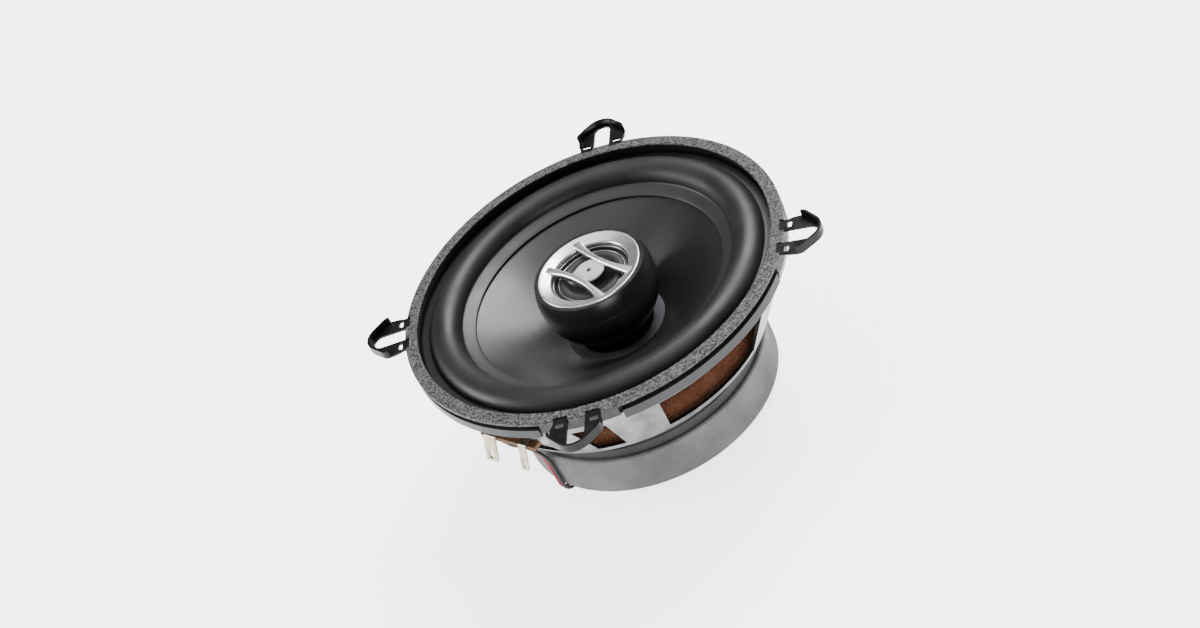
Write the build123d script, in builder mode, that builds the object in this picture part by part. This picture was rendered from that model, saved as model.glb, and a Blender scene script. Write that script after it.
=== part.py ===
from build123d import *

# Two-way coaxial car loudspeaker, 130 mm class, lying on its back plate.
# The origin is the centre of the back plate's rear face. +Z runs along the speaker's axis and
# out of its front, and the front mounting loop points along -Y. All sizes are in millimetres.
import os
from math import atan2, cos, degrees, pi, radians, sin, tan

# ---------------------------------------------------------------- driving dimensions
# motor
BACK_PLATE_RADIUS = 39.5
BACK_PLATE_HEIGHT = 4.0
MAGNET_RADIUS = 45.4
MAGNET_BORE_RADIUS = 24.0
MAGNET_HEIGHT = 15.1
TOP_PLATE_RADIUS = 44.2
TOP_PLATE_HEIGHT = 4.0
POLE_RADIUS = 12.1
YOKE_BORE_RADIUS = 5.0
POLE_DROP = 0.2
POLE_CHAMFER = 0.6
BACK_PLATE_CHAMFER = 0.5
MAGNET_CHAMFER = 0.5
TOP_PLATE_CHAMFER = 0.4

# moving coil
FORMER_RADIUS = 12.7
FORMER_WALL = 0.3
WINDING_WALL = 0.45
WINDING_HEIGHT = 10.0
FORMER_BELOW_WINDING = 1.2
GAP_CLEARANCE = 0.4

# basket
SHEET = 1.2
BASKET_DEPTH = 31.0
SHOULDER_HEIGHT = 6.0
SHOULDER_RADIUS = 50.6
SHOULDER_STEP = 3.6
FLOOR_RADIUS = 44.4
SHOULDER_EASE = 0.4
BASKET_BENDS = [1.6, 0.9, 0.9, 0.8, 0.3]
BASKET_BORE_MARGIN = 12.0
WALL_TOP_INSET = 1.0
WINDOW_FOOT = 9.0
WINDOW_HEAD = 1.6
WINDOW_HALF_ANGLE = 20.5
LOOP_WINDOW_HALF_ANGLE = 5.2
WINDOW_FOOT_INSET = 2.4
WINDOW_HEAD_INSET = 6.0
CUT_MARGIN = 5.0
FLOOR_RIVETS = 4

# front ring and rim trim
RING_RADIUS = 65.0
RING_WIDTH = 4.4
RING_HEIGHT = 6.0
RING_FLARE = 1.0
RING_EDGE_ROUND = 0.35
LEDGE_WIDTH = 4.4
LEDGE_HEIGHT = 1.2
GROOVE_TOP = 1.2
GROOVE_HEIGHT = 1.9
GROOVE_DEPTH = 2.1
LUG_HALF_ANGLE = 11.2
LUG_HEIGHT = 1.5
TRIM_END_GAP_ANGLE = 0.8
TRIM_HEIGHT = 3.2
TRIM_SKIRT_WALL = 0.7
RIM_INSET = 0.1
LUG_ROOT = 0.4

# mounting loops
LOOP_ANGLES = {"front": -90.0, "right": -6.4, "rear": 90.0, "left": 186.4}
LOOP_SHEET = 0.8
LOOP_TOP_DROP = 0.4
LOOP_REACH = 12.8
LOOP_TIP_RADIUS = 6.2
LOOP_CORNER_RADIUS = 3.0
LOOP_NOTCH = 1.7
LOOP_SLOT_WIDTH = 5.6
LOOP_ROOT_HALF_WIDTH = 7.6
LOOP_HALF_WIDTH = 8.6
LOOP_LIP_HEIGHT = 3.0
LOOP_LIP_LENGTH = 1.35
LOOP_HOLE_LENGTH = 1.5
LOOP_HOLE_WIDTH = 3.0
LOOP_HOLE_CORNER = 0.3
LOOP_HOLE_OUT = 1.6
LOOP_HOLE_SHIFT = 0.3
LOOP_ROOT_DEPTH = 3.4
LOOP_POCKET = 5.0
LOOP_FLARE_OUT = 0.6
LOOP_FLARE_LENGTH = 2.0
LOOP_TAPER = 0.3

# cone, surround and spider
SURROUND_OUTER_RADIUS = 57.2
SURROUND_INNER_RADIUS = 46.9
SURROUND_LAND_INNER = 42.6
SURROUND_SHEET = 0.8
SURROUND_CLEARANCE = 0.3
GLUE = 0.05
ROLL_HEIGHT = 4.6
CONE_EDGE_DROP = 0.9
CONE_NECK_RADIUS = 16.9
CONE_NECK_DROP = 18.4
CONE_SHEET = 0.7
CONE_BOW = 1.4
NECK_RING_HEIGHT = 0.8
NECK_RING_DISH = 0.6
SPIDER_SHEET = 0.5
SPIDER_HALF_WAVES = 11
SPIDER_WAVE_HEIGHT = 1.3
SPIDER_INNER_LAND = 2.0
SPIDER_EDGE_GAP = 0.6

# tweeter
POST_RADIUS = 8.0
POST_BORE_RADIUS = 2.6
HOUSING_RADIUS = 19.95
HOUSING_RIM_RADIUS = 18.75
HOUSING_FOOT_RADIUS = 13.0
HOUSING_HEIGHT = 21.8
HOUSING_BELLY = 14.6
HOUSING_WALL = 1.6
HOUSING_FOOT_SWELL = 0.7
HOUSING_FOOT_RISE = 5.6
HOUSING_RIM_SWELL = 0.25
HOUSING_RIM_RISE = 0.4
SOCKET_CLEARANCE = 0.1
STEP_WIDTH = 1.5
HOUSING_TAPER = 1.2
HOUSING_TAPER_RISE = 5.0
HOUSING_CAVITY_INSET = 1.0
BEZEL_RADIUS = 17.6
BEZEL_OPENING_RADIUS = 13.3
BEZEL_RISE = 1.15
BEZEL_DISH = 1.4
BEZEL_SHEET = 1.2
BEZEL_FOOT_BEVEL = 0.4
RIM_DROP = 0.4
BAR_OFFSET = 7.0
BAR_BOW = 2.1
BAR_WIDTH = 1.9
BAR_HEIGHT = 1.5
BAR_ANGLE = -44.6
BAR_LIFT = 0.25
BAR_END_INSET = 1.4
DIFFUSER_RADIUS = 5.1
DIFFUSER_HEIGHT = 0.9
DIFFUSER_DIMPLE_RADIUS = 0.85
CHASSIS_DROP = 3.9
CHASSIS_HEIGHT = 3.4
TWEETER_COIL_RADIUS = 7.6
TWEETER_COIL_WALL = 0.5
TWEETER_COIL_HEIGHT = 2.6
TWEETER_GAP = 0.4
TWEETER_YOKE_WALL = 2.2
TWEETER_YOKE_FLOOR = 1.5
TWEETER_YOKE_HEIGHT = 8.2
TWEETER_MAGNET_HEIGHT = 3.2
TWEETER_PLATE_HEIGHT = 1.6
TWEETER_YOKE_DROP = 0.2
TWEETER_MAGNET_INSET = 0.5
TWEETER_DOME_SHEET = 0.3
TWEETER_DOME_DEPTH = 1.2
TWEETER_EDGE_RADIUS = 12.7
TWEETER_EDGE_ROLL = 0.7
TWEETER_EDGE_SHEET = 0.4
TWEETER_EDGE_LAND = 0.4
TWEETER_EDGE_LIP = 0.3
CAPACITOR_RADIUS = 2.6
CAPACITOR_LENGTH = 11.0
CAPACITOR_ROUND = 0.4
CAPACITOR_CLEARANCE = 0.6

# terminals
TERMINAL_ANGLE = -122.0
BOARD_WIDTH = 23.0
BOARD_LENGTH = 11.0
BOARD_SHEET = 1.6
BOARD_DROP = 12.6
BOARD_OUTER_RADIUS = 59.0
BOARD_SIDE_CLEARANCE = 0.9
BRACKET_MARGIN = 3.5
BLADE_SHEET = 0.8
BLADE_LENGTH = 6.6
BLADE_FOOT = 5.3
POSITIVE_BLADE_WIDTH = 4.8
NEGATIVE_BLADE_WIDTH = 2.8
BLADE_PITCH = 14.0
BLADE_TILT = 22.0
BLADE_BEND_RADIUS = 0.15
BLADE_BEND_OUT = 0.2
BLADE_SLOT_LENGTH = 3.4
BLADE_SLOT_SHARE = 0.36
BLADE_SLOT_MIDDLE = 0.7
RIVET_RADIUS = 1.5
RIVET_HEAD_RADIUS = 2.6
RIVET_HEAD_HEIGHT = 0.8

# leads
LEAD_RADIUS = 0.6
LEAD_PITCH = 2.1
LEAD_ANGLE = -130.0
LEAD_CLEARANCE = 0.2
STEM_DROP = 16.0
TINSEL_RADIUS = 0.5
TINSEL_PITCH = 19.0
TINSEL_CONE_RADIUS = 30.0

# ---------------------------------------------------------------- sizes that follow
MAGNET_Z = BACK_PLATE_HEIGHT
TOP_PLATE_Z = MAGNET_Z + MAGNET_HEIGHT
FLOOR_Z = TOP_PLATE_Z + TOP_PLATE_HEIGHT
SEAT_Z = FLOOR_Z + BASKET_DEPTH
RING_TOP_Z = SEAT_Z + RING_HEIGHT
LEDGE_Z = SEAT_Z + LEDGE_HEIGHT
SHOULDER_Z = FLOOR_Z + SHOULDER_HEIGHT
GAP_Z = TOP_PLATE_Z + TOP_PLATE_HEIGHT / 2
POLE_TOP_Z = FLOOR_Z - POLE_DROP

WINDING_RADIUS = FORMER_RADIUS + FORMER_WALL + WINDING_WALL
TOP_PLATE_BORE = WINDING_RADIUS + GAP_CLEARANCE
FORMER_OUTER = FORMER_RADIUS + FORMER_WALL

RIM_RADIUS = RING_RADIUS - TRIM_SKIRT_WALL - RIM_INSET
RIM_INNER = RIM_RADIUS - SHEET
WALL_TOP_RADIUS = RIM_RADIUS - WALL_TOP_INSET
LUG_RADIUS = RING_RADIUS - RIM_INSET
LUG_INNER = RING_RADIUS - GROOVE_DEPTH - LUG_ROOT
RING_INNER = RING_RADIUS - RING_WIDTH
RING_FOOT_INNER = RING_INNER + RING_FLARE
LEDGE_INNER = RING_FOOT_INNER - LEDGE_WIDTH
GROOVE_RADIUS = RING_RADIUS - GROOVE_DEPTH
GROOVE_TOP_Z = RING_TOP_Z - GROOVE_TOP
GROOVE_Z = GROOVE_TOP_Z - GROOVE_HEIGHT
LUG_Z = SEAT_Z + LUG_HEIGHT
TRIM_Z = GROOVE_Z - TRIM_HEIGHT
LOOP_Z = RING_TOP_Z - LOOP_TOP_DROP - LOOP_SHEET
LOOP_ROOT_X = RING_RADIUS - LOOP_ROOT_DEPTH
LEG_WIDTH = LOOP_ROOT_HALF_WIDTH - LOOP_SLOT_WIDTH / 2
LEG_MIDDLE = (LOOP_ROOT_HALF_WIDTH + LOOP_SLOT_WIDTH / 2) / 2

CONE_EDGE_Z = LEDGE_Z - CONE_EDGE_DROP
CONE_NECK_Z = CONE_EDGE_Z - CONE_NECK_DROP
FORMER_TOP_Z = CONE_NECK_Z - NECK_RING_DISH
SPIDER_Z = SHOULDER_Z + SHEET
SPIDER_OUTER = SHOULDER_RADIUS - SHEET / 2
SPIDER_LAND_INNER = SHOULDER_RADIUS - SHOULDER_STEP

BEZEL_Z = RING_TOP_Z + BEZEL_RISE
BEZEL_FOOT_Z = BEZEL_Z - BEZEL_DISH - BEZEL_SHEET
HOUSING_TOP_Z = BEZEL_Z - RIM_DROP
HOUSING_Z = HOUSING_TOP_Z - HOUSING_HEIGHT
HOUSING_FLOOR_Z = HOUSING_Z + HOUSING_WALL
CHASSIS_TOP_Z = BEZEL_Z - CHASSIS_DROP
CHASSIS_Z = CHASSIS_TOP_Z - CHASSIS_HEIGHT
BAR_Z = BEZEL_Z - BEZEL_DISH + BAR_LIFT
TWEETER_YOKE_RADIUS = TWEETER_COIL_RADIUS + TWEETER_COIL_WALL + TWEETER_GAP + TWEETER_YOKE_WALL
TWEETER_YOKE_BORE = TWEETER_YOKE_RADIUS - TWEETER_YOKE_WALL
TWEETER_YOKE_Z = CHASSIS_TOP_Z - TWEETER_YOKE_DROP - TWEETER_YOKE_HEIGHT
TWEETER_MAGNET_Z = TWEETER_YOKE_Z + TWEETER_YOKE_FLOOR
TWEETER_PLATE_Z = TWEETER_MAGNET_Z + TWEETER_MAGNET_HEIGHT
TWEETER_PLATE_RADIUS = TWEETER_COIL_RADIUS - TWEETER_GAP
TWEETER_DOME_RADIUS = TWEETER_COIL_RADIUS + TWEETER_COIL_WALL

BOARD_Z = SEAT_Z - BOARD_DROP
BOARD_TOP_Z = BOARD_Z + BOARD_SHEET
BOARD_INNER_RADIUS = BOARD_OUTER_RADIUS - BOARD_LENGTH
BRACKET_WIDTH = BOARD_WIDTH + 2 * BRACKET_MARGIN


def radial_plane(angle):
    """Upright plane through the speaker's axis: x runs outwards at the angle, y runs up."""
    outwards = (cos(radians(angle)), sin(radians(angle)), 0)
    normal = (sin(radians(angle)), -cos(radians(angle)), 0)
    return Plane(origin=(0, 0, 0), x_dir=outwards, z_dir=normal)


def level_plane(angle, height):
    """Level plane at a height, with x running outwards at the angle."""
    outwards = (cos(radians(angle)), sin(radians(angle)), 0)
    return Plane(origin=(0, 0, height), x_dir=outwards, z_dir=(0, 0, 1))


def wall_radius(height):
    """Outer radius of the basket's slanted wall at a height above the back plate."""
    share = (height - SHOULDER_Z) / (SEAT_Z - SHEET - SHOULDER_Z)
    return SHOULDER_RADIUS + share * (WALL_TOP_RADIUS - SHOULDER_RADIUS)


def cone_height(radius):
    """Height of the cone's front face at a radius: a straight flare bowed towards the front."""
    share = (radius - CONE_NECK_RADIUS) / (SURROUND_INNER_RADIUS - CONE_NECK_RADIUS)
    return CONE_NECK_Z + share * (CONE_EDGE_Z - CONE_NECK_Z) + 4 * CONE_BOW * share * (1 - share)


def bend_radii(points):
    """Bend at each inner point of a route: 0.45 of the shorter run over the tangent of half the turn."""
    radii = []
    for before, here, after in zip(points, points[1:], points[2:]):
        run_in = Vector(*here) - Vector(*before)
        run_out = Vector(*after) - Vector(*here)
        half_turn = radians(run_in.get_angle(run_out)) / 2
        radii.append(0.45 * min(run_in.length, run_out.length) / tan(half_turn))
    print("bend radii", [round(radius, 2) for radius in radii])
    return radii


def save(part, name):
    """Label a finished piece and write it to the parts folder."""
    part.label = name
    export_step(part, f"parts/{name}.step")


os.makedirs("parts", exist_ok=True)

# ---------------------------------------------------------------- motor
# the yoke is one forging: the back plate, the pole and the bore that carries the tweeter post,
# with a channel across its rear face for the tweeter leads
CHANNEL_WIDTH = LEAD_PITCH + 2 * LEAD_RADIUS + 2 * LEAD_CLEARANCE
CHANNEL_DEPTH = 3.6 * LEAD_RADIUS
with BuildPart() as yoke:
    with BuildSketch(Plane.XY):
        Circle(BACK_PLATE_RADIUS)
    extrude(amount=BACK_PLATE_HEIGHT)
    with BuildSketch(Plane.XY.offset(BACK_PLATE_HEIGHT)):
        Circle(POLE_RADIUS)
    extrude(amount=POLE_TOP_Z - BACK_PLATE_HEIGHT)
    chamfer(yoke.faces().sort_by(Axis.Z)[-1].edges(), POLE_CHAMFER)
    chamfer(yoke.faces().filter_by(Plane.XY).sort_by(Axis.Z)[0].edges(), BACK_PLATE_CHAMFER)
    with BuildSketch(level_plane(LEAD_ANGLE, 0)):
        with Locations((BACK_PLATE_RADIUS / 2, 0)):
            Rectangle(BACK_PLATE_RADIUS + 2, CHANNEL_WIDTH)
    extrude(amount=CHANNEL_DEPTH, mode=Mode.SUBTRACT)
    Hole(YOKE_BORE_RADIUS)
save(yoke.part, "yoke")

with BuildPart() as magnet:
    with BuildSketch(Plane.XY.offset(MAGNET_Z)):
        Circle(MAGNET_RADIUS)
        Circle(MAGNET_BORE_RADIUS, mode=Mode.SUBTRACT)
    extrude(amount=MAGNET_HEIGHT)
    chamfer(magnet.edges().filter_by(GeomType.CIRCLE).group_by(SortBy.RADIUS)[-1], MAGNET_CHAMFER)
save(magnet.part, "magnet")

with BuildPart() as top_plate:
    with BuildSketch(Plane.XY.offset(TOP_PLATE_Z)):
        Circle(TOP_PLATE_RADIUS)
        Circle(TOP_PLATE_BORE, mode=Mode.SUBTRACT)
    extrude(amount=TOP_PLATE_HEIGHT)
    chamfer(top_plate.edges().filter_by(GeomType.CIRCLE).group_by(SortBy.RADIUS)[-1], TOP_PLATE_CHAMFER)
save(top_plate.part, "top_plate")

# ---------------------------------------------------------------- basket
# a wide window in the middle of each gap between neighbouring loops, a narrow one under each loop,
# and one for the terminal board in the gap that has no wide window
loop_angles = sorted(LOOP_ANGLES.values())
board_window = degrees(atan2(BOARD_WIDTH / 2 + BOARD_SIDE_CLEARANCE, wall_radius(BOARD_Z) - 3 * SHEET))
windows = [((first + last) / 2, WINDOW_HALF_ANGLE) for first, last in zip(loop_angles, loop_angles[1:])]
windows += [(angle, LOOP_WINDOW_HALF_ANGLE) for angle in loop_angles]
windows += [(TERMINAL_ANGLE, board_window)]
STEP_RADIUS = SHOULDER_RADIUS - SHOULDER_STEP
RIVET_OFFSETS = (-BOARD_WIDTH / 4, BOARD_WIDTH / 4)
BASKET_BORE = TOP_PLATE_BORE + BASKET_BORE_MARGIN
BRACKET_OUTER = (wall_radius(BOARD_Z) ** 2 - (BRACKET_WIDTH / 2) ** 2) ** 0.5

with BuildPart() as basket:
    with BuildSketch(Plane.XZ):
        with BuildLine():
            outer_skin = FilletPolyline(
                (BASKET_BORE, FLOOR_Z),
                (FLOOR_RADIUS, FLOOR_Z),
                (STEP_RADIUS, SHOULDER_Z),
                (SHOULDER_RADIUS - SHOULDER_EASE, SHOULDER_Z),
                (WALL_TOP_RADIUS, SEAT_Z - SHEET),
                (RIM_RADIUS, SEAT_Z - SHEET),
                (RIM_RADIUS, LUG_Z),
                radius=BASKET_BENDS,
            )
            offset(amount=SHEET, side=Side.LEFT)
        make_face()
    revolve(axis=Axis.Z)
    # under each lug the rim is set out to the ring's own edge
    for angle in loop_angles:
        with BuildSketch(radial_plane(angle - LUG_HALF_ANGLE)):
            with Locations(((RIM_RADIUS - SHEET / 2 + LUG_RADIUS) / 2, (SEAT_Z + LUG_Z) / 2)):
                Rectangle(LUG_RADIUS - RIM_RADIUS + SHEET / 2, LUG_Z - SEAT_Z)
        revolve(axis=Axis.Z, revolution_arc=2 * LUG_HALF_ANGLE)
    # windows through the slanted wall
    for angle, half_angle in windows:
        with BuildSketch(radial_plane(angle - half_angle)):
            with BuildLine():
                Polyline(
                    (SHOULDER_RADIUS - WINDOW_FOOT_INSET, FLOOR_Z + WINDOW_FOOT),
                    (RING_RADIUS + CUT_MARGIN, FLOOR_Z + WINDOW_FOOT),
                    (RING_RADIUS + CUT_MARGIN, SEAT_Z - SHEET - WINDOW_HEAD),
                    (WALL_TOP_RADIUS - WINDOW_HEAD_INSET, SEAT_Z - SHEET - WINDOW_HEAD),
                    close=True,
                )
            make_face()
        revolve(axis=Axis.Z, revolution_arc=2 * half_angle, mode=Mode.SUBTRACT)
    # a flat bracket across the terminal window carries the board
    with BuildSketch(level_plane(TERMINAL_ANGLE, BOARD_Z - SHEET)):
        with Locations(((BOARD_INNER_RADIUS + BRACKET_OUTER) / 2, 0)):
            Rectangle(BRACKET_OUTER - BOARD_INNER_RADIUS, BRACKET_WIDTH)
        with Locations(*[(BOARD_INNER_RADIUS + RIVET_HEAD_RADIUS, y) for y in RIVET_OFFSETS]):
            Circle(RIVET_RADIUS, mode=Mode.SUBTRACT)
    extrude(amount=SHEET)
save(basket.part, "basket")

# four rivets hold the basket's floor to the top plate
RIVET_CIRCLE = (BASKET_BORE + FLOOR_RADIUS) / 2
with BuildPart() as floor_rivets:
    with BuildSketch(Plane.XY.offset(FLOOR_Z + SHEET)):
        with PolarLocations(RIVET_CIRCLE, FLOOR_RIVETS, start_angle=45):
            Circle(RIVET_HEAD_RADIUS)
    extrude(amount=RIVET_HEAD_HEIGHT)
    chamfer(floor_rivets.edges().group_by(Axis.Z)[-1], RIVET_HEAD_HEIGHT / 2)
save(floor_rivets.part, "floor_rivets")

# ---------------------------------------------------------------- front ring and rim trim
pocket_x = LOOP_ROOT_X + LOOP_POCKET / 2
notch_x = RING_RADIUS - LOOP_NOTCH + LOOP_POCKET / 2
with BuildPart() as front_ring:
    with BuildSketch(Plane.XZ):
        with BuildLine():
            Polyline(
                (LEDGE_INNER, SEAT_Z),
                (RIM_INNER, SEAT_Z),
                (RIM_INNER, LUG_Z),
                (GROOVE_RADIUS, LUG_Z),
                (GROOVE_RADIUS, GROOVE_TOP_Z),
                (RING_RADIUS, GROOVE_TOP_Z),
                (RING_RADIUS, RING_TOP_Z),
                (RING_INNER, RING_TOP_Z),
                (RING_FOOT_INNER, LEDGE_Z),
                (LEDGE_INNER, LEDGE_Z),
                close=True,
            )
        make_face()
    revolve(axis=Axis.Z)
    fillet(front_ring.edges().group_by(Axis.Z)[-1], RING_EDGE_ROUND)
    # a lug at each loop fills the groove and reaches down to the basket's rim
    for angle in loop_angles:
        with BuildSketch(radial_plane(angle - LUG_HALF_ANGLE)):
            with Locations(((LUG_INNER + LUG_RADIUS) / 2, (LUG_Z + GROOVE_TOP_Z) / 2)):
                Rectangle(LUG_RADIUS - LUG_INNER, GROOVE_TOP_Z - LUG_Z)
        revolve(axis=Axis.Z, revolution_arc=2 * LUG_HALF_ANGLE)
    # pockets for the loops' two legs
    for angle in loop_angles:
        with BuildSketch(level_plane(angle, LOOP_Z)):
            with Locations((pocket_x, -LEG_MIDDLE), (pocket_x, LEG_MIDDLE)):
                Rectangle(LOOP_POCKET, LEG_WIDTH)
        extrude(amount=LOOP_SHEET, mode=Mode.SUBTRACT)
        # the pockets' outer ends are open to the front
        with BuildSketch(level_plane(angle, LOOP_Z)):
            with Locations((notch_x, -LEG_MIDDLE), (notch_x, LEG_MIDDLE)):
                Rectangle(LOOP_POCKET, LEG_WIDTH)
        extrude(amount=RING_HEIGHT, mode=Mode.SUBTRACT)
save(front_ring.part, "front_ring")

# grey rim trim: one strip in each gap between the lugs, wrapped over the basket's rim
trim_gap = LUG_HALF_ANGLE + TRIM_END_GAP_ANGLE
trim_starts = loop_angles
trim_ends = loop_angles[1:] + [loop_angles[0] + 360]
with BuildPart() as rim_trim:
    for first, last in zip(trim_starts, trim_ends):
        with BuildSketch(radial_plane(first + trim_gap)):
            with BuildLine():
                Polyline(
                    (GROOVE_RADIUS, LUG_Z),
                    (RIM_RADIUS, LUG_Z),
                    (RIM_RADIUS, TRIM_Z),
                    (RING_RADIUS, TRIM_Z),
                    (RING_RADIUS, GROOVE_Z),
                    (GROOVE_RADIUS, GROOVE_Z),
                    close=True,
                )
            make_face()
        revolve(axis=Axis.Z, revolution_arc=last - first - 2 * trim_gap)
save(rim_trim.part, "rim_trim")

# ---------------------------------------------------------------- mounting loops
# each loop is one stamping: two legs from the ring, a slot for the screw between them,
# and an upright lip round the outside of the tip
TIP_CENTRE = RING_RADIUS + LOOP_REACH - LOOP_TIP_RADIUS
APEX_X = TIP_CENTRE + LOOP_TIP_RADIUS * 2**0.5
CORNER_X = APEX_X - LOOP_HALF_WIDTH
SLOT_CENTRE = RING_RADIUS + LOOP_REACH - 2 * LOOP_SHEET - LOOP_SLOT_WIDTH / 2
LIP_START_X = CORNER_X - LOOP_LIP_LENGTH
LEG_FLARE_X = RING_RADIUS + LOOP_FLARE_OUT
tip_points = [
    (LIP_START_X, -LOOP_HALF_WIDTH),
    (CORNER_X, -LOOP_HALF_WIDTH),
    (APEX_X, 0),
    (CORNER_X, LOOP_HALF_WIDTH),
    (LIP_START_X, LOOP_HALF_WIDTH),
]
tip_radii = [LOOP_CORNER_RADIUS, LOOP_TIP_RADIUS, LOOP_CORNER_RADIUS]
hole_x = RING_RADIUS + LOOP_HOLE_OUT
hole_y = LEG_MIDDLE + LOOP_HOLE_SHIFT
for loop_name, angle in LOOP_ANGLES.items():
    with BuildPart() as mounting_loop:
        with BuildSketch(level_plane(angle, LOOP_Z)):
            with BuildLine():
                FilletPolyline(*tip_points, radius=tip_radii)
                Polyline(
                    (LIP_START_X, LOOP_HALF_WIDTH),
                    (LEG_FLARE_X + LOOP_FLARE_LENGTH, LOOP_HALF_WIDTH - LOOP_TAPER),
                    (LEG_FLARE_X, LOOP_ROOT_HALF_WIDTH),
                    (LOOP_ROOT_X, LOOP_ROOT_HALF_WIDTH),
                    (LOOP_ROOT_X, -LOOP_ROOT_HALF_WIDTH),
                    (LEG_FLARE_X, -LOOP_ROOT_HALF_WIDTH),
                    (LEG_FLARE_X + LOOP_FLARE_LENGTH, LOOP_TAPER - LOOP_HALF_WIDTH),
                    (LIP_START_X, -LOOP_HALF_WIDTH),
                )
            make_face()
            with Locations(((LOOP_ROOT_X + SLOT_CENTRE) / 2, 0)):
                Rectangle(SLOT_CENTRE - LOOP_ROOT_X, LOOP_SLOT_WIDTH, mode=Mode.SUBTRACT)
            with Locations((SLOT_CENTRE, 0)):
                Circle(LOOP_SLOT_WIDTH / 2, mode=Mode.SUBTRACT)
            with Locations((hole_x, -hole_y), (hole_x, hole_y)):
                RectangleRounded(LOOP_HOLE_LENGTH, LOOP_HOLE_WIDTH, LOOP_HOLE_CORNER, mode=Mode.SUBTRACT)
        extrude(amount=LOOP_SHEET)
        with BuildSketch(level_plane(angle, LOOP_Z)):
            with BuildLine():
                FilletPolyline(*tip_points, radius=tip_radii)
                offset(amount=LOOP_SHEET, side=Side.LEFT)
            make_face()
        extrude(amount=LOOP_LIP_HEIGHT)
    save(mounting_loop.part, f"mounting_loop_{loop_name}")

# ---------------------------------------------------------------- moving coil, cone and suspension
with BuildPart() as coil_former:
    with BuildSketch(Plane.XY.offset(GAP_Z - WINDING_HEIGHT / 2 - FORMER_BELOW_WINDING)):
        Circle(FORMER_OUTER)
        Circle(FORMER_RADIUS, mode=Mode.SUBTRACT)
    extrude(amount=FORMER_TOP_Z - GAP_Z + WINDING_HEIGHT / 2 + FORMER_BELOW_WINDING)
save(coil_former.part, "coil_former")

with BuildPart() as voice_coil:
    with BuildSketch(Plane.XY.offset(GAP_Z - WINDING_HEIGHT / 2)):
        Circle(WINDING_RADIUS)
        Circle(FORMER_OUTER, mode=Mode.SUBTRACT)
    extrude(amount=WINDING_HEIGHT)
save(voice_coil.part, "voice_coil")

MIDDLE_RADIUS = (CONE_NECK_RADIUS + SURROUND_INNER_RADIUS) / 2
NECK_SEAT_Z = CONE_NECK_Z - NECK_RING_HEIGHT
with BuildPart() as cone:
    with BuildSketch(Plane.XZ):
        with BuildLine():
            ThreePointArc(
                (CONE_NECK_RADIUS, CONE_NECK_Z),
                (MIDDLE_RADIUS, cone_height(MIDDLE_RADIUS)),
                (SURROUND_INNER_RADIUS, CONE_EDGE_Z),
            )
            Line((SURROUND_INNER_RADIUS, CONE_EDGE_Z), (SURROUND_INNER_RADIUS, CONE_EDGE_Z - CONE_SHEET))
            ThreePointArc(
                (SURROUND_INNER_RADIUS, CONE_EDGE_Z - CONE_SHEET),
                (MIDDLE_RADIUS, cone_height(MIDDLE_RADIUS) - CONE_SHEET),
                (CONE_NECK_RADIUS + CONE_SHEET, NECK_SEAT_Z - CONE_SHEET),
            )
            Polyline(
                (CONE_NECK_RADIUS + CONE_SHEET, NECK_SEAT_Z - CONE_SHEET),
                (FORMER_OUTER, NECK_SEAT_Z - NECK_RING_DISH - CONE_SHEET),
                (FORMER_OUTER, NECK_SEAT_Z - NECK_RING_DISH),
                (CONE_NECK_RADIUS, NECK_SEAT_Z),
                (CONE_NECK_RADIUS, CONE_NECK_Z),
            )
        make_face()
    revolve(axis=Axis.Z)
save(cone.part, "cone")

with BuildPart() as neck_ring:
    with BuildSketch(Plane.XZ):
        with BuildLine():
            Polyline(
                (FORMER_OUTER, NECK_SEAT_Z - NECK_RING_DISH),
                (CONE_NECK_RADIUS, NECK_SEAT_Z),
                (CONE_NECK_RADIUS, CONE_NECK_Z),
                (FORMER_OUTER, CONE_NECK_Z - NECK_RING_DISH),
                close=True,
            )
        make_face()
    revolve(axis=Axis.Z)
save(neck_ring.part, "neck_ring")

LAND_Z = LEDGE_Z + SURROUND_SHEET
ROLL_MIDDLE = (SURROUND_INNER_RADIUS + SURROUND_OUTER_RADIUS) / 2
land_drop = CONE_EDGE_Z - cone_height(SURROUND_LAND_INNER)
land_slope = atan2(land_drop, SURROUND_INNER_RADIUS - SURROUND_LAND_INNER)
land_rise = SURROUND_SHEET / cos(land_slope) + GLUE
with BuildPart() as surround:
    with BuildSketch(Plane.XZ):
        with BuildLine():
            Line((RING_FOOT_INNER - SURROUND_CLEARANCE, LAND_Z), (SURROUND_OUTER_RADIUS, LAND_Z))
            ThreePointArc(
                (SURROUND_OUTER_RADIUS, LAND_Z),
                (ROLL_MIDDLE, LAND_Z + ROLL_HEIGHT),
                (SURROUND_INNER_RADIUS, CONE_EDGE_Z + land_rise),
            )
            Line(
                (SURROUND_INNER_RADIUS, CONE_EDGE_Z + land_rise),
                (SURROUND_LAND_INNER, CONE_EDGE_Z - land_drop + land_rise),
            )
            offset(amount=SURROUND_SHEET, side=Side.LEFT)
        make_face()
    revolve(axis=Axis.Z)
save(surround.part, "surround")

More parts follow.
